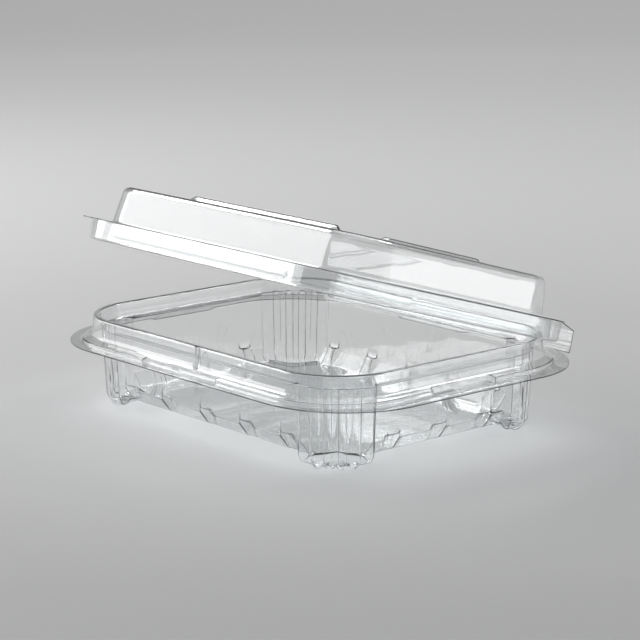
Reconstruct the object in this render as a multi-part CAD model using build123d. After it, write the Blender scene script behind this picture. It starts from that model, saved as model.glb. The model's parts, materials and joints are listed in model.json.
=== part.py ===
from build123d import *
import math
import os

# A clear thermoformed clamshell pack: one sheet formed as a tray, a lid and the living hinge between them.
# Millimetres. Origin on the table, under the middle of the whole pack. +X along the hinge, +Y towards it.
# The lid is drawn closed, then turned about the hinge crease to the ajar rest position.

# Sheet and crest: the crest is the bead that runs round the top of the tray
sheet = 0.45                # thickness of the formed sheet
crest_half_x = 100.0        # half length of the crest, outer edge
crest_half_y = 76.0         # half width of the crest, outer edge
corner_radius = 32.0        # corner radius of the crest, outer edge
corner_flat = 0.02          # share of its radius by which a corner arc is flattened, leaving creased ends
lid_angle = 16.6            # lid opening at rest, degrees

# Heights above the table
foot_floor_gap = 4.4        # underside of the tray's floor above the table
bevel_rise = 6.8            # sloped foot of the walls, above the floor
foot_bevel_rise = 7.0       # sloped lower edge of the feet
flange_z = 33.0             # top of the tray's flange
shoulder_step = 1.9         # step from the flange up to the shoulder
shoulder_rise = 1.5         # slope of the shoulder, from its outer edge to the band
band_height = 9.8           # band between the shoulder and the crest's top
ledge_drop = 6.8            # inner ledge below the crest's top
dome_height = 18.6          # lid's top above its ledge

# Tray rim, as distances outward from the crest's outer edge
crest_width = 3.4
crest_round = 0.8
band_flare = 0.9
inner_leg_lean = 0.8
shoulder_out = 5.4
flange_front = 10.3
flange_side = 14.0
flange_back = 12.0
flange_corner = 46.0
recess_out = 2.5            # shoulder in the finger recesses
recess_long = 48.0          # finger recess on the long sides
recess_short = 38.0         # finger recess on the short sides
notch_width = 3.4           # locating notch in the front band
notch_depth = 1.3

# Tray body, as distances inward from the crest's outer edge
column_in_top = 5.9
column_in_foot = 8.0
wall_in_top = 9.4
wall_in_bevel = 10.3        # wall at the top of its sloped foot
bevel_in = 5.6              # reach of the sloped foot, from the wall to the floor
foot_bevel_in = 3.0
foot_depth = 11.5
flute_radius = 1.6
flute_pitch = 15.4          # degrees between flutes
flute_count = 4
flute_sides = 8             # flats round a flute
rib_length = 7.0            # wedge ribs across the sloped foot of the walls
rib_pitch = 29.5
rib_rise = 1.5              # ribs above the sloped foot
ribs_long = 5
ribs_short = 3

# Lid
rest_gap = 0.2              # lid's ledge above the crest when closed
skirt_gap = 0.6             # lid's skirt outside the tray's band
skirt_clear = 0.25          # skirt above the shoulder when closed
channel_width = 4.0         # groove between the two legs of the skirt
lid_rim = 1.2               # flange at the top of the skirt
dome_in_front = 4.2         # dome's foot, in from the crest's edge on the front
dome_in_back = 7.2          # on the hinge side
dome_in_short = 2.5         # and on the short sides
dome_lean = 2.0             # dome's walls, from foot to top
dome_corner = 24.0
dome_flat = 0.03            # as corner_flat, for the dome
dome_round = 3.0
round_steps = 3             # flats that make up the round of the dome's top edge
tab_radius = 15.0
tab_reach = 5.0
bead_length_long = 104.0    # stacking beads on the lid's top
bead_length_short = 60.0
bead_width = 4.0
bead_height = 1.2
bead_sides = 8              # flats round the two ends of a bead
bead_inset_front = 24.0     # beads in from the edge of the lid's top
bead_inset_side = 25.5

# Living hinge
strip_half = 87.0
strip_drop = 3.5            # slope from the lid's flange to the upright part of the strip
bead_radius = 0.6
crease_gap = 0.25

# Levels and places that follow from the sizes above
shoulder_z = flange_z + shoulder_step
band_z = shoulder_z + shoulder_rise
crest_z = band_z + band_height
ledge_z = crest_z - ledge_drop
bevel_z = foot_floor_gap + bevel_rise
wall_lean = (wall_in_bevel - wall_in_top) / (ledge_z - bevel_z)
lid_under = crest_z + rest_gap
lid_z = lid_under + sheet
top_z = lid_z + dome_height
centre_x = crest_half_x - corner_radius
centre_y = crest_half_y - corner_radius
skirt_in_top = skirt_gap
skirt_in_foot = band_flare + skirt_gap
shoulder_slope = shoulder_rise / (shoulder_out - band_flare)
skirt_z = band_z - (skirt_in_foot - band_flare) * shoulder_slope + skirt_clear
skirt_out = skirt_in_foot + 2 * sheet + channel_width
lid_edge = skirt_out + lid_rim
dome_half_x = crest_half_x - dome_in_short
dome_half_y = crest_half_y - (dome_in_front + dome_in_back) / 2
dome_shift = (dome_in_front - dome_in_back) / 2
hinge_y = crest_half_y + flange_back + bead_radius + crease_gap
hinge_z = flange_z - sheet / 2
middle_y = (hinge_y + bead_radius - crest_half_y - flange_front) / 2
far = 60.0                  # reach of the cutting solids past the part
field = 180.0               # half length of the blocks that cut away a whole level
deep = -20.0                # underside of the solids that are cut away
trim = 2.0                  # reach of a cutting skin past the sheet's edge
overlap = 1.0               # depth by which a joined or cutting solid runs into the next
mitre = math.tan(math.radians(22.5))    # shift of a sheet's inner face where a fold turns 45 degrees


def outline(half_x, half_y, radius, flat, z):
    """Rounded rectangle at height z, with corner arcs flattened by a share of their radius."""
    cx = half_x - radius
    cy = half_y - radius
    bulge = radius * (1 - flat) * math.sqrt(0.5)
    edges = []
    for sx, sy in ((1, -1), (1, 1), (-1, 1), (-1, -1)):
        along = ((sx * cx, sy * half_y), (sx * half_x, sy * cy))
        start, end = along if sx * sy < 0 else along[::-1]
        middle = (sx * (cx + bulge), sy * (cy + bulge))
        if edges:
            edges.append(Line(edges[-1] @ 1, start))
        edges.append(ThreePointArc(start, middle, end))
    edges.append(Line(edges[-1] @ 1, edges[0] @ 0))
    return Pos(0, 0, z) * make_face(edges)


def ring(out, z):
    """The crest's outline moved outward by out, at height z."""
    return outline(crest_half_x + out, crest_half_y + out, corner_radius + out, corner_flat, z)


def stack(levels):
    """Solid through a list of faces, with straight sides between each two."""
    solid = loft([levels[0], levels[1]], ruled=True)
    for low, high in zip(levels[1:], levels[2:]):
        solid += loft([low, high], ruled=True)
    return solid


def tapered(face, steps, way=1):
    """Solid grown from a face, up or down, drawn in over each (rise, inset) step."""
    solid = None
    for rise, inset in steps:
        piece = extrude(face, rise, dir=(0, 0, way), taper=math.degrees(math.atan2(inset, rise)))
        solid = piece if solid is None else solid + piece
        face = piece.faces().sort_by(Axis.Z)[-1 if way > 0 else 0]
    return solid


def block(low, high):
    """Box between two corners."""
    size = [b - a for a, b in zip(low, high)]
    return Pos(*low) * Box(*size, align=(Align.MIN, Align.MIN, Align.MIN))


def side_prism(points, half_length, side):
    """Prism along one side of the tray from an (outward, z) section measured from the crest's edge."""
    face = make_face(Polyline(*[(p[0], p[1]) for p in points], close=True))
    reach, turn = sides[side]
    upright = Plane(origin=(0, 0, 0), x_dir=(0, -1, 0), z_dir=(-1, 0, 0))
    prism = extrude(upright * face, half_length, both=True)
    return Rot(0, 0, turn) * Pos(0, -reach, 0) * prism


sides = {
    "front": (crest_half_y, 0),
    "right": (crest_half_x, 90),
    "back": (crest_half_y, 180),
    "left": (crest_half_x, 270),
}
half_straight = {"front": centre_x, "back": centre_x, "right": centre_y, "left": centre_y}
recess_half = {
    "front": recess_long / 2,
    "back": recess_long / 2,
    "right": recess_short / 2,
    "left": recess_short / 2,
}


def flange_face(grow, z):
    """Tray flange: wider on the short sides, and straight along the hinge."""
    half_x = crest_half_x + flange_side + grow
    half_y = crest_half_y + (flange_front + flange_back) / 2 + grow
    face = outline(half_x, half_y, flange_corner + grow, 0, z)
    return Pos(0, (flange_back - flange_front) / 2, 0) * face


def rim_solid(skin):
    """Everything under the tray's upper surface, with that surface lowered by skin."""
    edge_grow = trim if skin else 0
    slab = extrude(flange_face(edge_grow, deep), flange_z - skin - deep)
    rise = tapered(ring(shoulder_out - skin, deep), [
        (shoulder_z - skin - deep, 0),
        (shoulder_rise, shoulder_out - band_flare),
        (band_height - crest_round, band_flare),
        (crest_round, crest_round),
    ])
    well = tapered(ring(-crest_width + crest_round + skin, crest_z + far), [
        (far + skin, 0),
        (crest_round, crest_round),
        (ledge_drop - crest_round, inner_leg_lean),
    ], -1)
    solid = slab + rise - well
    for side in sides:
        section = [
            (recess_out - skin, flange_z - skin),
            (far, flange_z - skin),
            (far, band_z),
            (recess_out - skin, band_z),
        ]
        solid -= side_prism(section, recess_half[side] + skin, side)
    notch = [
        (-notch_depth - skin, band_z - skin),
        (shoulder_out, band_z - skin),
        (shoulder_out, crest_z + far),
        (-notch_depth - skin, crest_z + far),
    ]
    return solid - side_prism(notch, notch_width / 2 + skin, "front")


def flutes(skin):
    """Half-round ribs down the four corner columns."""
    reach_top = corner_radius - column_in_top
    reach_foot = corner_radius - column_in_foot
    ribs = []
    for sx, sy, turn in ((1, 1, 45), (-1, 1, 135), (-1, -1, 225), (1, -1, 315)):
        for index in range(flute_count):
            angle = math.radians(turn + (index - (flute_count - 1) / 2) * flute_pitch)
            ways = (math.cos(angle), math.sin(angle))
            middle = (sx * centre_x, sy * centre_y)
            foot = Vector(*[c + reach_foot * w for c, w in zip(middle, ways)], 0)
            head = Vector(*[c + reach_top * w for c, w in zip(middle, ways)], ledge_z)
            axis = (head - foot).normalized()
            start = foot + axis * (foot_bevel_rise + skin)
            length = (head - start).length
            across = Plane(start, x_dir=(-ways[1], ways[0], 0), z_dir=axis)
            section = RegularPolygon(flute_radius - skin, flute_sides, rotation=180 / flute_sides)
            ribs.append(extrude(across * section, length))
    return ribs


def wall_at(z):
    """Outer face of a long or short wall at height z, outward from the crest's edge."""
    return wall_lean * (z - bevel_z) - wall_in_bevel


def sloped_foot(rise, skin):
    """Section outside a wall's sloped foot, with the slope raised by rise and drawn in by skin."""
    high = bevel_z + rise + mitre * skin
    floor_edge = -wall_in_bevel - bevel_in - rise - mitre * skin
    return [
        (wall_at(high) - skin, high),
        (floor_edge, foot_floor_gap + skin),
        (floor_edge, deep),
        (far, deep),
    ]


def body_solid(skin):
    """Tray body under the ledge: columns, inset walls, feet and floor, drawn in by skin."""
    top = crest_z - crest_round
    slope = (column_in_foot - column_in_top) / ledge_z
    inset = column_in_foot - slope * top + skin
    mouth = outline(crest_half_x - inset, crest_half_y - inset, corner_radius - inset, 0, top)
    solid = tapered(mouth, [
        (top - foot_bevel_rise, slope * (top - foot_bevel_rise)),
        (foot_bevel_rise - skin, foot_bevel_in),
    ], -1)
    for rib in flutes(skin):
        solid += rib
    over = top + overlap
    for side in sides:
        wall = sloped_foot(0, skin) + [(far, over), (wall_at(over) - skin, over)]
        solid -= side_prism(wall, half_straight[side] + skin, side)
    under = block((-field, -field, deep), (field, field, foot_floor_gap + skin))
    chord = (centre_x + centre_y) * math.sqrt(0.5) + corner_radius - column_in_foot - foot_depth + skin
    for turn in (45, 135, 225, 315):
        foot = block((chord, -field, deep), (chord + field, field, top))
        under -= Rot(0, 0, turn) * foot
    solid -= under
    for side in sides:
        count = ribs_long if side in ("front", "back") else ribs_short
        for index in range(count):
            place = (index - (count - 1) / 2) * rib_pitch
            notch = sloped_foot(rib_rise, skin)
            notch.append((far, notch[0][1]))
            prism = side_prism(notch, rib_length / 2 + skin, side)
            shift = Pos(place, 0, 0) if side in ("front", "back") else Pos(0, place, 0)
            solid -= shift * prism
    return solid


def tray():
    """Tray: what lies between the rim's two skins, with the body sunk in it."""
    upper = rim_solid(0) - body_solid(sheet)
    lower = rim_solid(sheet) - body_solid(0)
    return upper - lower


def lid_plate(grow, z):
    """Lid flange with its pull tab on one front corner."""
    half_x = crest_half_x + lid_edge + grow
    half_y = crest_half_y + lid_edge + grow
    face = outline(half_x, half_y, corner_radius + lid_edge + grow, corner_flat, z)
    reach = corner_radius + lid_edge + tab_reach - tab_radius
    way = math.sqrt(0.5)
    tab = Pos(-centre_x - reach * way, -centre_y - reach * way, z) * Circle(tab_radius + grow)
    return face + tab


def lid_solid(skin):
    """Everything under the closed lid's upper surface, with that surface lowered by skin."""
    edge_grow = trim if skin else 0
    base = extrude(lid_plate(edge_grow, deep), lid_z - skin - deep)
    foot = Pos(0, dome_shift, 0) * outline(
        dome_half_x - skin,
        dome_half_y - skin,
        dome_corner - skin,
        dome_flat,
        lid_z - skin,
    )
    steps = [(dome_height - dome_round, dome_lean)]
    for step in range(round_steps):
        start = math.radians(90 * step / round_steps)
        end = math.radians(90 * (step + 1) / round_steps)
        rise = dome_round * (math.sin(end) - math.sin(start))
        steps.append((rise, dome_round * (math.cos(start) - math.cos(end))))
    dome = tapered(foot, steps)
    solid = base + dome
    inner = stack([
        ring(skirt_in_foot + sheet - skin, skirt_z + sheet - skin),
        ring(skirt_in_top + sheet - skin, lid_z - skin),
        ring(skirt_in_top + sheet - skin, lid_z + far),
    ])
    outer = stack([
        ring(skirt_out - sheet + skin, skirt_z + sheet - skin),
        ring(skirt_out - sheet + skin, lid_z + far),
    ])
    solid -= outer - inner
    place_front = dome_half_y - dome_lean - bead_inset_front
    place_side = dome_half_x - dome_lean - bead_inset_side
    for turn, place, length in (
        (0, place_front, bead_length_long),
        (90, place_side, bead_length_short),
        (180, place_front, bead_length_long),
        (270, place_side, bead_length_short),
    ):
        slot = Rectangle(length - bead_width, bead_width - 2 * skin)
        for end in (-1, 1):
            tip = RegularPolygon(bead_width / 2 - skin, bead_sides, False, rotation=180 / bead_sides)
            slot += Pos(end * (length - bead_width) / 2, 0) * tip
        bead = extrude(Pos(0, -place, top_z - overlap) * slot, overlap + bead_height - skin)
        solid += Pos(0, dome_shift, 0) * Rot(0, 0, turn) * bead
    return solid


def hinge_strip():
    """Strip from the lid's back flange down to the crease, with a round bead on the hinge axis."""
    edge = crest_half_y + lid_edge
    knee_z = lid_z - strip_drop
    section = Polyline(
        (edge - overlap, lid_z),
        (edge, lid_z),
        (hinge_y + sheet / 2, knee_z),
        (hinge_y + sheet / 2, hinge_z),
        (hinge_y - sheet / 2, hinge_z),
        (hinge_y - sheet / 2, knee_z - sheet / 2),
        (edge - overlap, lid_z - sheet),
        close=True,
    )
    upright = Plane(origin=(0, 0, 0), x_dir=(0, 1, 0), z_dir=(1, 0, 0))
    strip = extrude(upright * make_face(section), strip_half, both=True)
    bead = extrude(upright * (Pos(hinge_y, hinge_z) * Circle(bead_radius)), strip_half, both=True)
    return strip + bead


def lid():
    """Lid and hinge strip, turned open about the crease."""
    closed = lid_solid(0) - lid_solid(sheet) + hinge_strip()
    return closed.rotate(Axis((0, hinge_y, hinge_z), (1, 0, 0)), -lid_angle)


os.makedirs("parts", exist_ok=True)
for name, solid in (("base_tray", tray()), ("lid", lid())):
    placed = Pos(0, -middle_y, 0) * solid
    export_step(placed, f"parts/{name}.step")
    print(name, len(placed.solids()), "solids", round(placed.volume, 1), "mm3", placed.bounding_box())
print("hinge axis at y", round(hinge_y - middle_y, 4), "z", round(hinge_z, 4))
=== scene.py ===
import json
import math

import bmesh
import bpy
import numpy as np
from mathutils import Matrix, Vector


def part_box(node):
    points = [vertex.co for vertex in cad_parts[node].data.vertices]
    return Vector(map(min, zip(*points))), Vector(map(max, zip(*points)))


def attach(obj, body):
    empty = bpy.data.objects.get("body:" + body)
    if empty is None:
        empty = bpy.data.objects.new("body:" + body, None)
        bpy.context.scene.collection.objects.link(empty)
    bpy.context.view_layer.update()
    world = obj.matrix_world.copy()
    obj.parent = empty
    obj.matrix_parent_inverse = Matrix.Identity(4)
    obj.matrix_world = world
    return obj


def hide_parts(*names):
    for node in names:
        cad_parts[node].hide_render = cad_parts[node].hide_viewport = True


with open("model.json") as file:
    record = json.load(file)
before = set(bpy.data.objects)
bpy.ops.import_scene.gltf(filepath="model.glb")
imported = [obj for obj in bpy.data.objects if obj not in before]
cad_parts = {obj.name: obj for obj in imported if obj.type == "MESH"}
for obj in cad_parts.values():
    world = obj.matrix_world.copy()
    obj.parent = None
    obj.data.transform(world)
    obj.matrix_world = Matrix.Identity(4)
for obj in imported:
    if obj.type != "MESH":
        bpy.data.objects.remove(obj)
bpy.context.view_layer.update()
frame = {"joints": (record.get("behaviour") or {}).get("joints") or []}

# A clear formed pack, tray and lid from one sheet, lid ajar. Sizes below are millimetres.
mm = 0.001
hinge = frame["joints"][0]
hingeAt = np.array(hinge["pos_m"]) / mm
lidAngle = math.radians(-hinge["range_deg"][0])    # from shut to the ajar rest

crest = {    # the bead round the tray's top, which both halves are drawn from
    "halfX": 100.0,
    "halfY": 76.0,
    "corner": 32.0,
    "flat": 0.02,        # share of the radius by which a corner arc is flattened
    "sheet": 0.45,
    "cornerSteps": 32,
    "sideStep": 4.2,
    "leastStep": 0.16,   # stations closer than this become one
    "weld": 0.02,
    "sliver": 0.004,
    "sharp": 42,         # degrees from which an edge is shaded sharp
}
crest["centreX"] = crest["halfX"] - crest["corner"]
crest["centreY"] = crest["halfY"] - crest["corner"]
trayLow = np.array(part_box("base_tray")[0]) / mm
firstCorner = 10    # side k is numbered k, and the corner after it firstCorner + k


def smooth(x):
    x = np.clip(x, 0.0, 1.0)
    return x * x * (3 - 2 * x)


def within(place, half, blend):    # 1 inside +-half, 0 outside, with a soft edge
    return smooth((half - np.abs(place)) / blend + 0.5)


def quarter(k):    # turns a plan by k right angles
    turn = math.radians(90 * k)
    return np.array([[math.cos(turn), -math.sin(turn)], [math.sin(turn), math.cos(turn)]])


class Path:    # stations round the plan, anticlockwise from the front left
    def __init__(self, sideMarks, cornerMarks=()):
        cx, cy = crest["centreX"], crest["centreY"]
        centre, way, side, along, half, tilt = [], [], [], [], [], []
        for k, length in enumerate((cx, cy, cx, cy)):
            rot = quarter(k)
            reach = cy if k % 2 == 0 else cx
            for s in self.places(length, sideMarks[k]):
                centre.append(rot @ (s, -reach))
                way.append(rot @ (0.0, -1.0))
                side.append(k)
                along.append(s)
                half.append(length)
                tilt.append(math.pi / 4)
            steps = crest["cornerSteps"]
            angles = [-45 + 90 * (i + 1) / (steps + 1) for i in range(steps)]
            angles = sorted(angles + [a for j, a in cornerMarks if j == k])
            for degrees in angles:
                a = math.radians(degrees)
                centre.append(rot @ (length, -reach))
                way.append(rot @ (math.sin(math.pi / 4 + a), -math.cos(math.pi / 4 + a)))
                side.append(firstCorner + k)
                along.append(degrees)
                half.append(length)
                tilt.append(a)
        self.centre, self.way = np.array(centre), np.array(way)
        self.side, self.along = np.array(side), np.array(along)
        self.half, self.tilt = np.array(half), np.array(tilt)
        self.onSide = self.side < firstCorner
        self.count = len(self.side)

    def places(self, length, marks):
        found = list(np.linspace(-length, length, 2 * round(length / crest["sideStep"]) + 1))
        for mark, reach in marks:
            found += [mark + reach * t for t in (-1, -0.5, 0, 0.5, 1)]
        found = sorted(s for s in found if -length <= s <= length)
        kept = [found[0]]
        for s in found[1:]:
            if s - kept[-1] > crest["leastStep"]:
                kept.append(s)
        kept[-1] = length
        return kept

    def outline(self, halfX, halfY, radius, flat=0.0, shift=0.0):    # a rounded rectangle
        cx, cy = halfX - radius, halfY - radius
        scale = np.array([cx / crest["centreX"], cy / crest["centreY"]])
        sagitta = 1 - flat - math.sqrt(0.5)
        bow = (0.5 + sagitta ** 2) / (2 * sagitta)
        back = bow - 1 + flat
        stretch = -back * np.cos(self.tilt) + np.sqrt(bow ** 2 - (back * np.sin(self.tilt)) ** 2)
        stretch = np.where(self.onSide, 1.0, stretch)
        reach = np.broadcast_to(radius, self.count) * stretch
        return self.centre * scale + reach[:, None] * self.way + (0.0, shift)

    def ring(self, out, flat=None):    # the crest's outline moved outward, by one value or one per station
        flat = crest["flat"] if flat is None else flat
        base = self.outline(crest["halfX"], crest["halfY"], crest["corner"], flat)
        unit = (base - self.centre) / crest["corner"]
        return base + np.broadcast_to(out, self.count)[:, None] * unit


def raised(plan, z):
    return np.column_stack([plan, np.broadcast_to(z, len(plan))])


def foldedRows(rows):    # rows of (points, fold radius, steps in the fold, steps in the run that follows)
    made = []
    for k, (here, radius, steps, run) in enumerate(rows):
        radius = np.reshape(radius, (-1, 1))    # one for the row, or one per station
        if radius.any() and 0 < k < len(rows) - 1:
            before, after = rows[k - 1][0] - here, rows[k + 1][0] - here
            lenA = np.linalg.norm(before, axis=1)[:, None]
            lenB = np.linalg.norm(after, axis=1)[:, None]
            unitA, unitB = before / lenA, after / lenB
            cosine = np.clip(np.sum(unitA * unitB, 1), -1, 1)[:, None]
            halfAngle = np.arccos(cosine) / 2
            reach = radius / np.tan(halfAngle + 1e-6)
            reach = np.minimum(reach, 0.48 * np.minimum(lenA, lenB))    # short of the next fold
            start, end = here + unitA * reach, here + unitB * reach
            for t in np.linspace(0, 1, steps):    # a round arc as a weighted curve
                a, b, c = (1 - t) ** 2, 2 * t * (1 - t) * np.sin(halfAngle), t ** 2
                made.append((a * start + b * here + c * end) / (a + b + c))
        else:
            made.append(here)
        if run and k < len(rows) - 1:
            made.append(("run", run))
    out = []
    for k, item in enumerate(made):
        if isinstance(item, tuple):
            a, b = out[-1], made[k + 1]
            out += [a + (b - a) * j / (item[1] + 1) for j in range(1, item[1] + 1)]
        else:
            out.append(item)
    return out


def closingRows(edge, spine, shares, middle=0.0):    # rings from an edge in to a spine along X
    parts = 6    # points on each half of the spine
    target = edge * (0, 0, 1) + (0, middle, 0)
    target[:, 0] = np.round(edge[:, 0] / np.abs(edge[:, 0]).max() * parts) / parts * spine
    return [edge + (target - edge) * t for t in shares]


def wobble(points, height):    # slow unevenness of a stretched sheet
    x, y, z = points.T
    wave = np.sin(x / 9.1 + y / 17.0 + 1.3) * np.sin(z / 7.3 + x / 23.0 + 0.4)
    wave += 0.6 * np.sin(x / 5.3 - y / 6.1 + z / 4.7 + 2.1)
    return height * wave


def sheetMesh(name, rows, extra=()):    # rows of points closed round the plan, then open strips of faces
    count = len(rows[0])
    points = np.concatenate(rows)
    faces = []
    for r in range(len(rows) - 1):
        for s in range(count):
            n = (s + 1) % count
            faces.append((r * count + s, r * count + n, (r + 1) * count + n, (r + 1) * count + s))
    for strip, ids in extra:    # strip rows end on the first ring's points
        base = len(points)
        points = np.concatenate([points, *strip])
        wide = len(ids)
        grid = [[base + r * wide + i for i in range(wide)] for r in range(len(strip))] + [list(ids)]
        for low, high in zip(grid, grid[1:]):
            faces += [(low[i], low[i + 1], high[i + 1], high[i]) for i in range(wide - 1)]
    mesh = bpy.data.meshes.new(name)
    mesh.from_pydata([tuple(p) for p in points * mm], [], faces)
    mesh.update()
    bm = bmesh.new()
    bm.from_mesh(mesh)
    bmesh.ops.remove_doubles(bm, verts=bm.verts, dist=crest["weld"] * mm)
    bmesh.ops.dissolve_degenerate(bm, edges=bm.edges, dist=crest["sliver"] * mm)
    bm.to_mesh(mesh)
    bm.free()
    return mesh


def pressTree():    # pushes a sheet out along lines, as a tool's beads do
    tree = bpy.data.node_groups.new("pressBeads", "GeometryNodeTree")
    ports = {}
    for label, kind, start in (
        ("Sheet", "Geometry", None),
        ("Bead Lines", "Object", None),
        ("Half Width", "Float", 0.002),
        ("Height", "Float", 0.001),
        ("Fullness", "Float", 1.3),
        ("Push Along", "Vector", (1, 1, 1)),
        ("Sheet Material", "Material", None),
    ):
        port = tree.interface.new_socket(label, in_out="INPUT", socket_type="NodeSocket" + kind)
        if start is not None:
            port.default_value = start
        ports[label] = port.identifier
    tree.interface.new_socket("Sheet", in_out="OUTPUT", socket_type="NodeSocketGeometry")
    add, link = tree.nodes.new, tree.links.new
    source, out = add("NodeGroupInput"), add("NodeGroupOutput")
    lines = add("GeometryNodeObjectInfo")
    lines.transform_space = "ORIGINAL"
    near = add("GeometryNodeProximity")
    near.target_element = "EDGES"

    def sums(operation, a, b):
        node = add("ShaderNodeMath")
        node.operation = operation
        for port, value in zip(node.inputs, (a, b)):
            if isinstance(value, float):
                port.default_value = value
            else:
                link(value, port)
        return node.outputs[0]

    link(source.outputs["Bead Lines"], lines.inputs["Object"])
    link(lines.outputs["Geometry"], near.inputs[0])
    share = sums("DIVIDE", near.outputs["Distance"], source.outputs["Half Width"])
    hump = sums("MAXIMUM", sums("SUBTRACT", 1.0, sums("MULTIPLY", share, share)), 0.0)
    lift = sums("MULTIPLY", sums("POWER", hump, source.outputs["Fullness"]), source.outputs["Height"])
    normal = add("GeometryNodeInputNormal")
    aim, push = add("ShaderNodeVectorMath"), add("ShaderNodeVectorMath")
    aim.operation, push.operation = "MULTIPLY", "SCALE"
    link(normal.outputs[0], aim.inputs[0])
    link(source.outputs["Push Along"], aim.inputs[1])
    link(aim.outputs[0], push.inputs[0])
    link(lift, push.inputs["Scale"])
    move = add("GeometryNodeSetPosition")
    link(source.outputs["Sheet"], move.inputs["Geometry"])
    link(push.outputs[0], move.inputs["Offset"])
    real, dress = add("GeometryNodeRealizeInstances"), add("GeometryNodeSetMaterial")
    link(move.outputs[0], real.inputs[0])
    link(real.outputs[0], dress.inputs["Geometry"])
    link(source.outputs["Sheet Material"], dress.inputs["Material"])
    link(dress.outputs[0], out.inputs[0])
    return tree, ports


def lineObject(name, lines):    # guide edges for one set of beads
    points = [tuple(np.array(p) * mm) for line in lines for p in line]
    edges, at = [], 0
    for line in lines:
        edges += [(at + i, at + i + 1) for i in range(len(line) - 1)]
        at += len(line)
    mesh = bpy.data.meshes.new(name)
    mesh.from_pydata(points, edges, [])
    obj = bpy.data.objects.new(name, mesh)
    bpy.context.scene.collection.objects.link(obj)
    return obj


def pressed(name, mesh, beads, material, place=None):    # beads, then the thickness, as one plain mesh
    obj = bpy.data.objects.new(name, mesh)
    bpy.context.scene.collection.objects.link(obj)
    guides = []
    for label, bead in beads.items():
        guide = lineObject(name + "." + label, bead["lines"])
        guides.append(guide)
        step = obj.modifiers.new(label, "NODES")
        step.node_group = beadTree
        step[beadPorts["Bead Lines"]] = guide
        step[beadPorts["Half Width"]] = bead["halfWidth"] * mm
        step[beadPorts["Height"]] = bead["height"] * mm
        step[beadPorts["Fullness"]] = bead["fullness"]
        step[beadPorts["Push Along"]] = bead["along"]
        step[beadPorts["Sheet Material"]] = material
    skin = obj.modifiers.new("thickness", "SOLIDIFY")
    skin.thickness = crest["sheet"] * mm
    skin.offset = -1.0
    skin.use_rim = True
    bpy.context.view_layer.update()
    graph = bpy.context.evaluated_depsgraph_get()
    solid = bpy.data.meshes.new_from_object(obj.evaluated_get(graph))
    obj.modifiers.clear()
    obj.data = solid
    for guide in guides:
        bpy.data.objects.remove(guide)
    if place is not None:
        solid.transform(place)
    solid.shade_smooth()
    solid.set_sharp_from_angle(angle=math.radians(crest["sharp"]))
    triangles = sum(len(p.vertices) - 2 for p in solid.polygons)
    print(name, "faces", len(solid.polygons), "triangles", triangles)
    return obj


beadTree, beadPorts = pressTree()
print("bead tree ready")


def mapped(node, values):    # sets both ranges of a Map Range node
    for label, value in zip(("From Min", "From Max", "To Min", "To Max"), values):
        node.inputs[label].default_value = value


def hazeGroup():    # slight unevenness of gloss and of the surface, in object coordinates
    group = bpy.data.node_groups.new("sheetHaze", "ShaderNodeTree")
    face = group.interface
    for label, start in (("Scale", 38.0), ("Fine Scale", 420.0), ("Low", 0.012), ("High", 0.055)):
        face.new_socket(label, in_out="INPUT", socket_type="NodeSocketFloat").default_value = start
    for label in ("Roughness", "Height"):
        face.new_socket(label, in_out="OUTPUT", socket_type="NodeSocketFloat")
    add, link = group.nodes.new, group.links.new
    source, out = add("NodeGroupInput"), add("NodeGroupOutput")
    where = add("ShaderNodeTexCoord")
    broad, fine = add("ShaderNodeTexNoise"), add("ShaderNodeTexNoise")
    for noise, label, detail in ((broad, "Scale", 3.0), (fine, "Fine Scale", 4.0)):
        link(where.outputs["Object"], noise.inputs["Vector"])
        link(source.outputs[label], noise.inputs["Scale"])
        noise.inputs["Detail"].default_value = detail
    both = add("ShaderNodeMath")
    both.operation = "MULTIPLY"
    link(broad.outputs[0], both.inputs[0])
    link(fine.outputs[0], both.inputs[1])
    spread = add("ShaderNodeMapRange")
    mapped(spread, (0.15, 0.42))
    link(both.outputs[0], spread.inputs["Value"])
    link(source.outputs["Low"], spread.inputs["To Min"])
    link(source.outputs["High"], spread.inputs["To Max"])
    link(spread.outputs[0], out.inputs["Roughness"])
    link(broad.outputs[0], out.inputs["Height"])
    return group


def clearSheet(name, look):
    mat = bpy.data.materials.new(name)
    mat.use_nodes = True
    nodes, link = mat.node_tree.nodes, mat.node_tree.links.new
    body = nodes["Principled BSDF"]
    body.inputs["Base Color"].default_value = (*look["tint"], 1)
    body.inputs["Transmission Weight"].default_value = 1.0
    body.inputs["IOR"].default_value = look["ior"]
    patch = nodes.new("ShaderNodeGroup")
    patch.node_tree = hazeTree
    for label, value in look["haze"].items():
        patch.inputs[label].default_value = value
    link(patch.outputs["Roughness"], body.inputs["Roughness"])
    bump = nodes.new("ShaderNodeBump")
    bump.inputs["Strength"].default_value = look["bump"]
    bump.inputs["Distance"].default_value = look["bumpDistance"]
    link(patch.outputs["Height"], bump.inputs["Height"])
    link(bump.outputs[0], body.inputs["Normal"])
    rays, mix = nodes.new("ShaderNodeLightPath"), nodes.new("ShaderNodeMixShader")
    lamp = nodes.new("ShaderNodeBsdfTransparent")    # what lamps see, so that the shadow stays pale
    lamp.inputs["Color"].default_value = (*look["shade"], 1)
    link(rays.outputs["Is Shadow Ray"], mix.inputs[0])
    link(body.outputs[0], mix.inputs[1])
    link(lamp.outputs[0], mix.inputs[2])
    link(mix.outputs[0], nodes["Material Output"].inputs["Surface"])
    return mat


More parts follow.
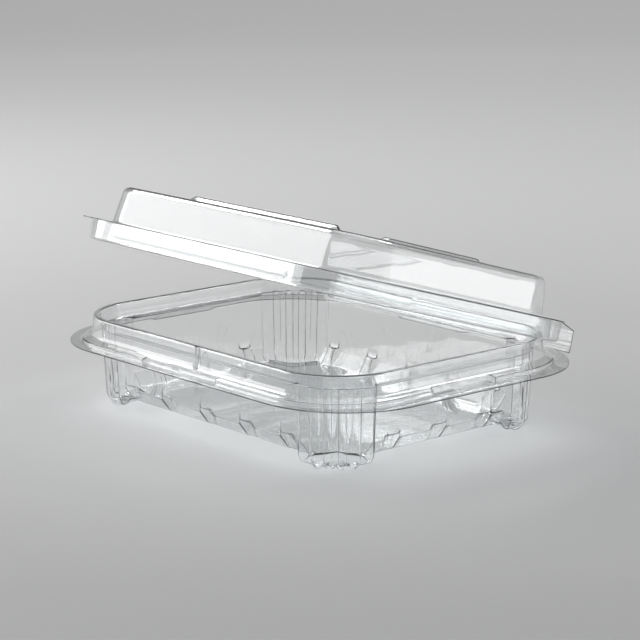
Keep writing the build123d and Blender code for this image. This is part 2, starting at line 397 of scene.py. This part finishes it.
hazeTree = hazeGroup()
sheetLook = {    # one sheet, so both halves share all but the haze
    "tint": (0.985, 0.992, 0.994),
    "ior": 1.57,
    "bump": 0.04,
    "bumpDistance": 0.001,
    "shade": (0.90, 0.91, 0.915),
}
trayHaze = {"Scale": 38.0, "Fine Scale": 420.0, "Low": 0.01, "High": 0.035}
lidHaze = {"Scale": 30.0, "Fine Scale": 380.0, "Low": 0.01, "High": 0.04}
traySheet = clearSheet("trayClearSheet", {**sheetLook, "haze": trayHaze})
lidSheet = clearSheet("lidClearSheet", {**sheetLook, "haze": lidHaze})
print("materials ready")

tray = {
    "flangeZ": 33.0,
    "flangeFront": 10.3,
    "flangeSide": 14.0,
    "flangeBack": 12.0,
    "flangeCorner": 46.0,
    "shoulderOut": 5.4,
    "shoulderZ": 34.9,
    "bandFlare": 0.9,
    "bandZ": 36.4,
    "crestZ": 46.2,
    "crestWidth": 3.4,
    "legLean": 0.8,
    "ledgeZ": 39.4,
    "recessOut": 2.5,
    "recessMiddle": (-3.0, 0.0, 0.0, 0.0),
    "recessHalf": (27.0, 19.0, 24.0, 19.0),
    "recessLead": (-14.0, -4.0),    # where the front recess curves in to its full depth
    "recessShallow": 0.6,    # share of its depth before that
    "recessBlend": 1.1,
    "notchAt": 5.0,
    "notchHalf": 0.9,
    "notchDepth": 1.3,
    "notchBlend": 0.8,
    "notchCrest": 0.6,       # share of the notch's depth at the crest
    "columnBlend": 1.3,      # turn from a wall to a column
    "columnTop": 6.35,       # inside of the sheet, in from the crest's edge
    "columnBevel": 8.3,      # where a foot's rounded lower edge starts
    "footToe": 10.2,
    "bevelFold": (4.5, 1.0),    # fold radii on a column and on a wall
    "toeFold": (2.6, 1.0),
    "columnRow": (7.45, 20.0),    # a row over the foot: in from the crest's edge, and height
    "wallTop": 9.85,
    "wallBevel": 10.75,      # where a wall's sloped foot starts
    "wallRow": (10.62, 16.0),
    "floorIn": 16.1,
    "floorRows": (3.5, 5.0),    # rows in from the toe of a wall
    "footZ": 1.9,
    "footBevelZ": 5.0,
    "footSwell": 1.0,        # rise of a foot's underside from its middle to its ends
    "footIn": 9.0,           # bowed inner side of a foot, from the corner's centre
    "footBow": 11.0,
    "footStep": 2.2,         # slope up to the floor behind a foot
    "padShare": 0.25,        # the pad's outer part, with close rows
    "floorZ": 4.85,
    "floorRing": 27.0,
    "floorSpine": 24.0,
    "floorShares": (0.12, 0.26, 0.4, 0.55, 0.7, 0.85, 1.0),
    "bevelZ": 11.4,
    "ribRise": 1.7,
    "ribStep": 2.2,          # depth of the ledge on top of a rib
    "ribToe": 0.45,          # how far a rib's toe comes in
    "ribDrop": 2.7,          # the row over a rib, below that over the wall
    "ribHalf": 3.5,
    "ribBlend": 0.7,
    "ribs": (
        (-62.0, -32.5, -3.0, 26.5, 56.0),
        (-29.5, 0.0, 29.5),
        (-59.0, -29.5, 0.0, 29.5, 59.0),
        (-29.5, 0.0, 29.5),
    ),
    "fluteAngles": (-23.1, -7.7, 7.7, 23.1),
    "fluteMarks": (-4.1, -3.4, -2.2, 0.0, 2.2, 3.4, 4.1),
    "fluteZ": 2.6,
    "fluteHead": 0.6,        # below the ledge
    "flute": {"halfWidth": 1.75, "height": -1.4, "fullness": 0.5, "along": (1, 1, 0)},
    "pipReach": (20.6, 22.4),    # the flutes end in round pips, which the pack stands on
    "pip": {"halfWidth": 2.1, "height": -1.45, "fullness": 0.7, "along": (0, 0, 1)},
    "waviness": 0.06,
    "wavyMargin": 3.0,       # clear of the ledge and of the sloped foot
    "wavyIn": 5.0,
    "floorWaviness": 0.015,
}
flangeHalfY = crest["halfY"] + (tray["flangeFront"] + tray["flangeBack"]) / 2
shiftY = trayLow[1] + crest["halfY"] + tray["flangeFront"]    # drawing to frame, along Y


def trayMarks():    # places on each side that need close stations, with their reach
    marks = []
    for k, ribs in enumerate(tray["ribs"]):
        length = crest["centreX"] if k % 2 == 0 else crest["centreY"]
        found = [(end * length, 1.6) for end in (-1, 1)]
        found += [(p + side * tray["ribHalf"], 0.8) for p in ribs for side in (-1, 1)]
        found += [(tray["recessMiddle"][k] + side * tray["recessHalf"][k], 1.0) for side in (-1, 1)]
        if k == 0:
            found += [(tray["notchAt"] + side * tray["notchHalf"], 0.5) for side in (-1, 1)]
        marks.append(found)
    return marks


def buildTray():
    t = tray
    fluteMarks = [(k, a + o) for k in range(4) for a in t["fluteAngles"] for o in t["fluteMarks"]]
    path = Path(trayMarks(), fluteMarks)
    column = 1 - smooth((path.half - np.abs(path.along)) / t["columnBlend"])
    column = np.where(path.onSide, column, 1.0)
    recess, notch, rib = np.zeros(path.count), np.zeros(path.count), np.zeros(path.count)
    for k in range(4):
        here = path.side == k
        recess[here] = within(path.along[here] - t["recessMiddle"][k], t["recessHalf"][k], t["recessBlend"])
        for p in t["ribs"][k]:
            rib[here] += within(path.along[here] - p, t["ribHalf"], t["ribBlend"])
        if k == 0:
            notch[here] = within(path.along[here] - t["notchAt"], t["notchHalf"], t["notchBlend"])
            start, full = t["recessLead"]
            lead = smooth((path.along[here] - start) / (full - start))
            recess[here] *= t["recessShallow"] + (1 - t["recessShallow"]) * lead
    slope = (t["bandZ"] - t["shoulderZ"]) / (t["shoulderOut"] - t["bandFlare"])
    shoulder = t["shoulderOut"] + (t["recessOut"] - t["shoulderOut"]) * recess
    shoulderZ = t["shoulderZ"] + (t["shoulderOut"] - shoulder) * slope
    dent = -(t["notchDepth"] + t["bandFlare"]) * notch
    rise = t["ribRise"] * rib

    def mixed(onColumn, onWall):
        return column * onColumn + (1 - column) * onWall

    bowed = (path.tilt / (math.pi / 4)) ** 2    # 0 on a corner's diagonal, 1 at its ends
    swell = t["footSwell"] * bowed
    wallTop = mixed(-t["columnTop"], -t["wallTop"])
    wallFoot = mixed(-t["columnBevel"], -t["wallBevel"] - t["ribStep"] * rib)
    wallFootZ = mixed(t["footBevelZ"] + swell, t["bevelZ"] + rise)
    toe = mixed(-t["footToe"], -t["floorIn"] - t["ribToe"] * rib)
    toeZ = mixed(t["footZ"] + swell, t["floorZ"])
    bow = t["footIn"] + t["footBow"] * bowed - crest["corner"]
    footIn = mixed(bow, -t["floorIn"] - t["floorRows"][0])
    stepIn = mixed(bow - t["footStep"], -t["floorIn"] - t["floorRows"][1])
    padIn = toe + (footIn - toe) * t["padShare"]
    overIn = mixed(-t["columnRow"][0], -t["wallRow"][0])
    overZ = mixed(t["columnRow"][1], t["wallRow"][1] - t["ribDrop"] * rib)
    flangeHalfX = crest["halfX"] + t["flangeSide"]
    flangeShift = (t["flangeBack"] - t["flangeFront"]) / 2
    flange = path.outline(flangeHalfX, flangeHalfY, t["flangeCorner"], 0.0, flangeShift)
    rows = foldedRows([
        (raised(flange, t["flangeZ"]), 0, 0, 2),
        (raised(path.ring(shoulder), t["flangeZ"]), 0.6, 3, 0),
        (raised(path.ring(shoulder), shoulderZ), 0.7, 3, 1),
        (raised(path.ring(t["bandFlare"] + dent), t["bandZ"]), 0.9, 3, 2),
        (raised(path.ring(dent * t["notchCrest"]), t["crestZ"]), 0.9, 5, 0),
        (raised(path.ring(-t["crestWidth"]), t["crestZ"]), 0.9, 5, 1),
        (raised(path.ring(-t["crestWidth"] - t["legLean"]), t["ledgeZ"]), 0.7, 3, 1),
        (raised(path.ring(wallTop, 0.0), t["ledgeZ"]), 1.0, 3, 5),
        (raised(path.ring(overIn, 0.0), overZ), 0.3, 3, 2),
        (raised(path.ring(wallFoot, 0.0), wallFootZ), mixed(*t["bevelFold"]), 5, 2),
        (raised(path.ring(toe, 0.0), toeZ), mixed(*t["toeFold"]), 5, 4),
        (raised(path.ring(padIn, 0.0), toeZ), 0, 0, 1),
        (raised(path.ring(footIn, 0.0), toeZ), 0.8, 3, 0),
        (raised(path.ring(stepIn, 0.0), t["floorZ"]), 0.8, 3, 1),
        (raised(path.ring(-t["floorRing"]), t["floorZ"]), 0, 0, 0),
    ])
    for row in rows:    # the walls are a little uneven
        deep = row[:, 2] < t["ledgeZ"] - t["wavyMargin"]
        inboard = np.max(np.abs(row[:, :2]) - (crest["halfX"], crest["halfY"]), axis=1) < -t["wavyIn"]
        wall = deep & inboard & (row[:, 2] > t["bevelZ"] + t["wavyMargin"])
        row[:, :2] += np.where(wall, wobble(row, t["waviness"]), 0)[:, None] * path.way
    floor = closingRows(rows[-1], t["floorSpine"], t["floorShares"])
    for share, row in zip(t["floorShares"], floor):    # and so is the floor
        row[:, 2] += wobble(row, t["floorWaviness"] * min(1, share * 3))
    rows += floor
    for row in rows:
        row[:, 1] += shiftY
    flutes, pips = [], []
    for k in range(4):
        turn = math.radians(90 * k - 45)
        corner = np.array([(1, 1, -1, -1)[k] * crest["centreX"], (-1, 1, 1, -1)[k] * crest["centreY"]])
        for degrees in t["fluteAngles"]:
            a = turn + math.radians(degrees)
            ways = np.array([math.cos(a), math.sin(a)])
            foot = corner + (crest["corner"] - t["columnBevel"]) * ways + (0, shiftY)
            head = corner + (crest["corner"] - t["columnTop"]) * ways + (0, shiftY)
            flutes.append([(*foot, t["fluteZ"]), (*head, t["ledgeZ"] - t["fluteHead"])])
            ends = [corner + r * ways + (0, shiftY) for r in t["pipReach"]]
            pips.append([(*end, t["footZ"]) for end in ends])
    beads = {"flutes": {"lines": flutes, **t["flute"]}, "pips": {"lines": pips, **t["pip"]}}
    return pressed("traySheetPiece", sheetMesh("traySheetPiece", rows), beads, traySheet)


trayPiece = buildTray()
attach(trayPiece, "tray")
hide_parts("base_tray")

lid = {
    "rimOut": 7.6,
    "outerLeg": 5.95,
    "outerLegFoot": 5.75,
    "innerLegFoot": 1.95,
    "innerLeg": 1.05,
    "rimZ": 46.85,
    "grooveZ": 36.9,
    "domeInFront": 4.2,
    "domeInBack": 7.2,
    "domeInShort": 2.5,
    "domeLean": 2.38,
    "domeCorner": 24.0,
    "domeFlat": 0.03,
    "domeRound": 5.5,
    "topFlat": 1.5,          # from the round of the top edge in to the first flat row
    "topZ": 65.36,
    "tabRadius": 15.0,
    "tabReach": 5.0,
    "tabMost": 8.0,
    "tabSoft": 1.2,          # how softly the tab joins the rim
    "tabChannel": 2.2,       # the channel is wider by this under the tab
    "stripHalf": 87.0,
    "stripDrop": 3.5,
    "creaseRadius": 0.6,
    "creaseTurn": (-170, 20, 10),    # round the hinge axis: from, to, rows
    "beadY": 44.3,           # beads out from the middle of the dome
    "beadX": 70.0,
    "beadHalfLong": 52.0,
    "beadHalfShort": 30.0,
    "beadRows": (3.0, -5.1, -0.5),    # close rows for the beads: from, to, step
    "stackBead": {"halfWidth": 2.1, "fullness": 0.4, "along": (0, 0, 1)},
    "stackHeights": (2.4, 1.7, 1.2),    # front, sides, back; the low one clears the table when laid open
    "snapZ": 41.2,
    "snapEnd": 4.0,
    "skirtBead": {"halfWidth": 1.9, "height": -0.45, "fullness": 1.0, "along": (1, 1, 0)},
    "waviness": 0.03,
    "wavyMargin": (2.5, 3.0),    # clear of the dome's foot and of its top
}


def buildLid():
    d = lid
    length = (crest["centreX"], crest["centreY"]) * 2
    marks = [[(end * (half - back), 1.2) for end in (-1, 1) for back in (0.0, 2.5, 5.0)] for half in length]
    reach = crest["corner"] + d["rimOut"]
    edgeAngle = math.degrees(math.asin((d["stripHalf"] - crest["centreX"]) / reach))
    path = Path(marks, ((1, 45 - edgeAngle), (2, edgeAngle - 45)))    # stations at the strip's ends
    rim = path.ring(d["rimOut"])
    tabCorner = path.side == firstCorner + 3
    tabMiddle = reach + d["tabReach"] - d["tabRadius"]
    tilt = np.where(tabCorner, path.tilt, math.pi / 4)
    inside = np.maximum(d["tabRadius"] ** 2 - (tabMiddle * np.sin(tilt)) ** 2, 0)
    tab = np.where(inside > 0, tabMiddle * np.cos(tilt) + np.sqrt(inside), 0)
    radial = np.linalg.norm(rim - path.centre, axis=1)
    soft = d["tabSoft"]
    grown = np.where(tab > 0, np.log(np.exp((tab - radial) / soft) + 1) * soft, 0)
    grown = np.minimum(grown, d["tabMost"])
    rim = rim + grown[:, None] * path.way
    footX = crest["halfX"] - d["domeInShort"]
    footY = crest["halfY"] - (d["domeInFront"] + d["domeInBack"]) / 2
    middleY = (d["domeInFront"] - d["domeInBack"]) / 2
    flat = d["domeRound"] + d["topFlat"]
    wider = d["tabChannel"] * np.where(tabCorner, np.cos(2 * path.tilt), 0)

    def dome(inward):    # the dome's outline, drawn in from its foot
        return path.outline(footX - inward, footY - inward, d["domeCorner"] - inward, d["domeFlat"], middleY)

    rows = foldedRows([
        (raised(rim, d["rimZ"]), 0, 0, 1),
        (raised(path.ring(d["outerLeg"] + wider), d["rimZ"]), 0.7, 5, 10),
        (raised(path.ring(d["outerLegFoot"] + wider), d["grooveZ"]), 0.9, 5, 0),
        (raised(path.ring(d["innerLegFoot"]), d["grooveZ"]), 0.9, 5, 6),
        (raised(path.ring(d["innerLeg"]), d["rimZ"]), 0.8, 5, 2),
        (raised(dome(0.0), d["rimZ"]), 1.0, 5, 8),
        (raised(dome(d["domeLean"]), d["topZ"]), d["domeRound"], 9, 0),
        (raised(dome(d["domeLean"] + flat), d["topZ"]), 0, 0, 0),
    ])
    edge = rows[-1]
    halfTop = edge[:, 1].max() - middleY
    dense = [1 - (d["beadY"] + o) / halfTop for o in np.arange(*d["beadRows"])]
    spine = edge[:, 0].max() - halfTop
    shares = [0.08, 0.16] + dense + [0.48, 0.6, 0.72, 0.86, 1.0]
    rows += closingRows(edge, spine, sorted(shares), middleY)
    low, high = d["wavyMargin"]
    for row in rows:    # the panels are a little uneven
        z = row[:, 2]
        panel = (z > d["rimZ"] + low) & (z < d["topZ"] - high)
        row[:, :2] += np.where(panel, wobble(row, d["waviness"]), 0)[:, None] * path.way
    hingeY, hingeZ = hingeAt[1] - shiftY, hingeAt[2]
    back = np.isin(path.side, (2, firstCorner + 1, firstCorner + 2)) & (rim[:, 1] > 0)
    ids = list(np.flatnonzero(back & (np.abs(rim[:, 0]) <= d["stripHalf"] + crest["weld"] / 2)))
    ids.sort(key=lambda i: -rim[i, 0])
    across = raised(rim[ids], d["rimZ"])
    strip = []
    for degrees in np.linspace(*d["creaseTurn"]):    # crease bead
        a = math.radians(degrees)
        y = hingeY + d["creaseRadius"] * math.cos(a)
        z = hingeZ + d["creaseRadius"] * math.sin(a)
        strip.append(np.column_stack([across[:, 0], np.full(len(ids), y), np.full(len(ids), z)]))
    foot = strip[-1]
    knee = foot * (1, 0, 0) + (0, hingeY + crest["sheet"] / 2, d["rimZ"] - d["stripDrop"])
    strip += [foot + (knee - foot) * j / 6 for j in range(1, 6)]
    strip += [knee + (across - knee) * j / 4 for j in range(4)]
    for row in rows + strip:
        row[:, 1] += shiftY
    longs, sides = [], []
    topY = middleY + shiftY
    for sign in (-1, 1):
        ends = (-d["beadHalfLong"], d["beadHalfLong"])
        longs.append([(x, sign * d["beadY"] + topY, d["topZ"]) for x in ends])
        ends = (-d["beadHalfShort"], d["beadHalfShort"])
        sides.append([(sign * d["beadX"], y + topY, d["topZ"]) for y in ends])
    snaps = []
    for k in range(4):
        reach = (crest["halfY"] if k % 2 == 0 else crest["halfX"]) + d["outerLeg"]
        span = length[k] - d["snapEnd"]
        ends = [quarter(k) @ (s, -reach) for s in (-span, span)]
        snaps.append([(e[0], e[1] + shiftY, d["snapZ"]) for e in ends])
    beads = {"skirtBeads": {"lines": snaps, **d["skirtBead"]}}
    stacks = {"stackFront": longs[:1], "stackSides": sides, "stackBack": longs[1:]}
    for (label, lines), height in zip(stacks.items(), d["stackHeights"]):
        beads[label] = {"lines": lines, "height": height, **d["stackBead"]}
    shift = Matrix.Translation(hingeAt * mm)
    turn = shift @ Matrix.Rotation(-lidAngle, 4, "X") @ shift.inverted()
    mesh = sheetMesh("lidSheetPiece", rows, [(strip, ids)])
    return pressed("lidSheetPiece", mesh, beads, lidSheet, turn)


lidPiece = buildLid()
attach(lidPiece, "cover")
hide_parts("lid")

stage = {
    "radius": 2.6,
    "cove": 0.9,
    "wall": 2.2,
    "steps": 96,
    "coveSteps": 12,
    "floorRings": (0.0, 0.3, 0.8, 1.7),
    "pale": 0.55,            # colour of the floor and of the lower backdrop
    "dark": 0.05,            # colour of the upper backdrop, which the clear edges mirror
    "fade": (0.35, 0.80),    # heights between which it turns from pale to dark
    "paintedGlow": (0.05, 0.55),    # painted light: the ground glows for camera, glossy and transmission rays, from under the pack out to the cove
    "paintedGlowReach": (0.3, 1.6),
}


def buildStage():
    rings = [(r, 0.0) for r in stage["floorRings"]]
    inner = stage["radius"] - stage["cove"]
    for k in range(1, stage["coveSteps"] + 1):
        a = math.pi / 2 * k / stage["coveSteps"]
        rings.append((inner + stage["cove"] * math.sin(a), stage["cove"] * (1 - math.cos(a))))
    rings.append((stage["radius"], stage["wall"]))
    bm = bmesh.new()
    made = []
    for radius, z in rings:
        if radius == 0:
            made.append([bm.verts.new((0, 0, z))] * stage["steps"])
            continue
        turns = [2 * math.pi * i / stage["steps"] for i in range(stage["steps"])]
        made.append([bm.verts.new((radius * math.cos(a), radius * math.sin(a), z)) for a in turns])
    for low, high in zip(made, made[1:]):
        for i in range(stage["steps"]):
            n = (i + 1) % stage["steps"]
            around = [low[i], high[i], high[n], low[n]]
            bm.faces.new(around[:3] if low[i] is low[n] else around)
    mesh = bpy.data.meshes.new("studioFloor")
    bm.to_mesh(mesh)
    bm.free()
    mesh.shade_smooth()
    floor = bpy.data.objects.new("studioFloor", mesh)
    bpy.context.scene.collection.objects.link(floor)
    mat = bpy.data.materials.new("paleFloor")
    mat.use_nodes = True
    body = mat.node_tree.nodes["Principled BSDF"]
    body.inputs["Roughness"].default_value = 0.8
    body.inputs["Specular IOR Level"].default_value = 0.2
    nodes, link = mat.node_tree.nodes, mat.node_tree.links.new
    where, apart = nodes.new("ShaderNodeTexCoord"), nodes.new("ShaderNodeSeparateXYZ")
    fade = nodes.new("ShaderNodeMapRange")
    fade.interpolation_type = "SMOOTHSTEP"
    mapped(fade, (*stage["fade"], stage["pale"], stage["dark"]))
    link(where.outputs["Object"], apart.inputs[0])
    link(apart.outputs["Z"], fade.inputs["Value"])
    link(fade.outputs[0], body.inputs["Base Color"])
    # painted light: an emission on the floor, seen only by camera, glossy and transmission rays, brightens
    # the ground without a lamp
    rays, paintedGlow = nodes.new("ShaderNodeLightPath"), nodes.new("ShaderNodeEmission")
    both = nodes.new("ShaderNodeAddShader")
    link(fade.outputs[0], paintedGlow.inputs["Color"])
    seen = rays.outputs["Is Camera Ray"]
    for label in ("Is Glossy Ray", "Is Transmission Ray"):    # clear sheet shows the same pale ground, its painted glow included
        either = nodes.new("ShaderNodeMath")
        either.operation = "MAXIMUM"
        link(seen, either.inputs[0])
        link(rays.outputs[label], either.inputs[1])
        seen = either.outputs[0]
    level = nodes.new("ShaderNodeMath")
    level.operation = "MULTIPLY"
    away, spread = nodes.new("ShaderNodeVectorMath"), nodes.new("ShaderNodeMapRange")
    away.operation = "LENGTH"
    link(where.outputs["Object"], away.inputs[0])
    link(away.outputs["Value"], spread.inputs["Value"])
    mapped(spread, (*stage["paintedGlowReach"], *stage["paintedGlow"]))
    link(spread.outputs[0], level.inputs[1])
    link(seen, level.inputs[0])
    link(level.outputs[0], paintedGlow.inputs["Strength"])
    link(body.outputs[0], both.inputs[0])
    link(paintedGlow.outputs[0], both.inputs[1])
    link(both.outputs[0], nodes["Material Output"].inputs["Surface"])
    mesh.materials.append(mat)


def softbox(name, toward, distance, size, power):    # metres and watts
    lamp = bpy.data.lights.new(name, "AREA")
    lamp.shape = "RECTANGLE"
    lamp.size, lamp.size_y = size
    lamp.energy = power
    obj = bpy.data.objects.new(name, lamp)
    aim = Vector(toward).normalized()
    obj.location = Vector((0, 0, 0.05)) + aim * distance
    obj.rotation_euler = aim.to_track_quat("Z", "Y").to_euler()
    obj.visible_camera = False
    bpy.context.scene.collection.objects.link(obj)


def buildLight():
    softbox("keyLeft", (-0.775, -0.53, 0.343), 1.2, (0.9, 0.9), 7.5)
    softbox("fillRight", (0.76, 0.67, 0.16), 1.2, (0.7, 0.5), 1.2)
    softbox("overhead", (-0.2, 0.35, 1.0), 1.5, (1.5, 1.5), 9)
    softbox("edgeLeft", (-0.736, 0.0, 0.677), 1.3, (0.5, 0.25), 5)
    softbox("edgeRight", (0.1, 0.642, 0.76), 1.3, (0.3, 0.3), 3)
    world = bpy.data.worlds.new("studioWorld")
    bpy.context.scene.world = world
    world.use_nodes = True
    sky = world.node_tree.nodes["Background"]
    sky.inputs["Color"].default_value = (0.9, 0.95, 1.0, 1)
    sky.inputs["Strength"].default_value = 0.08


view = {    # fitted to the photo
    "azimuth": 48.92,
    "elevation": 12.51,
    "distance": 1195.3,
    "focus": 2448.59,    # in pixels
    "pixels": 640,
    "sensor": 36.0,
    "across": 3.06,
    "up": 13.84,
}


def buildCamera():
    a, e = math.radians(view["azimuth"]), math.radians(view["elevation"])
    back = Vector((math.sin(a) * math.cos(e), -math.cos(a) * math.cos(e), math.sin(e)))
    right = Vector((math.cos(a), math.sin(a), 0))
    up = back.cross(right)
    data = bpy.data.cameras.new("photoCamera")
    data.sensor_width = view["sensor"]
    data.lens = view["focus"] / view["pixels"] * view["sensor"]
    data.clip_end = 50
    camera = bpy.data.objects.new("photoCamera", data)
    origin = Vector((0, shiftY, tray["flangeZ"]))
    camera.location = (origin + back * view["distance"] + right * view["across"] + up * view["up"]) * mm
    camera.rotation_mode = "QUATERNION"
    camera.rotation_quaternion = back.to_track_quat("Z", "Y")
    bpy.context.scene.collection.objects.link(camera)
    bpy.context.scene.camera = camera


buildStage()
buildLight()
buildCamera()
scene = bpy.context.scene
scene.view_settings.view_transform = "Standard"
scene.cycles.max_bounces = 40              # light passes many walls of the clear sheet
scene.cycles.transmission_bounces = 40
scene.cycles.transparent_max_bounces = 40
print("stage, lamps and camera ready")
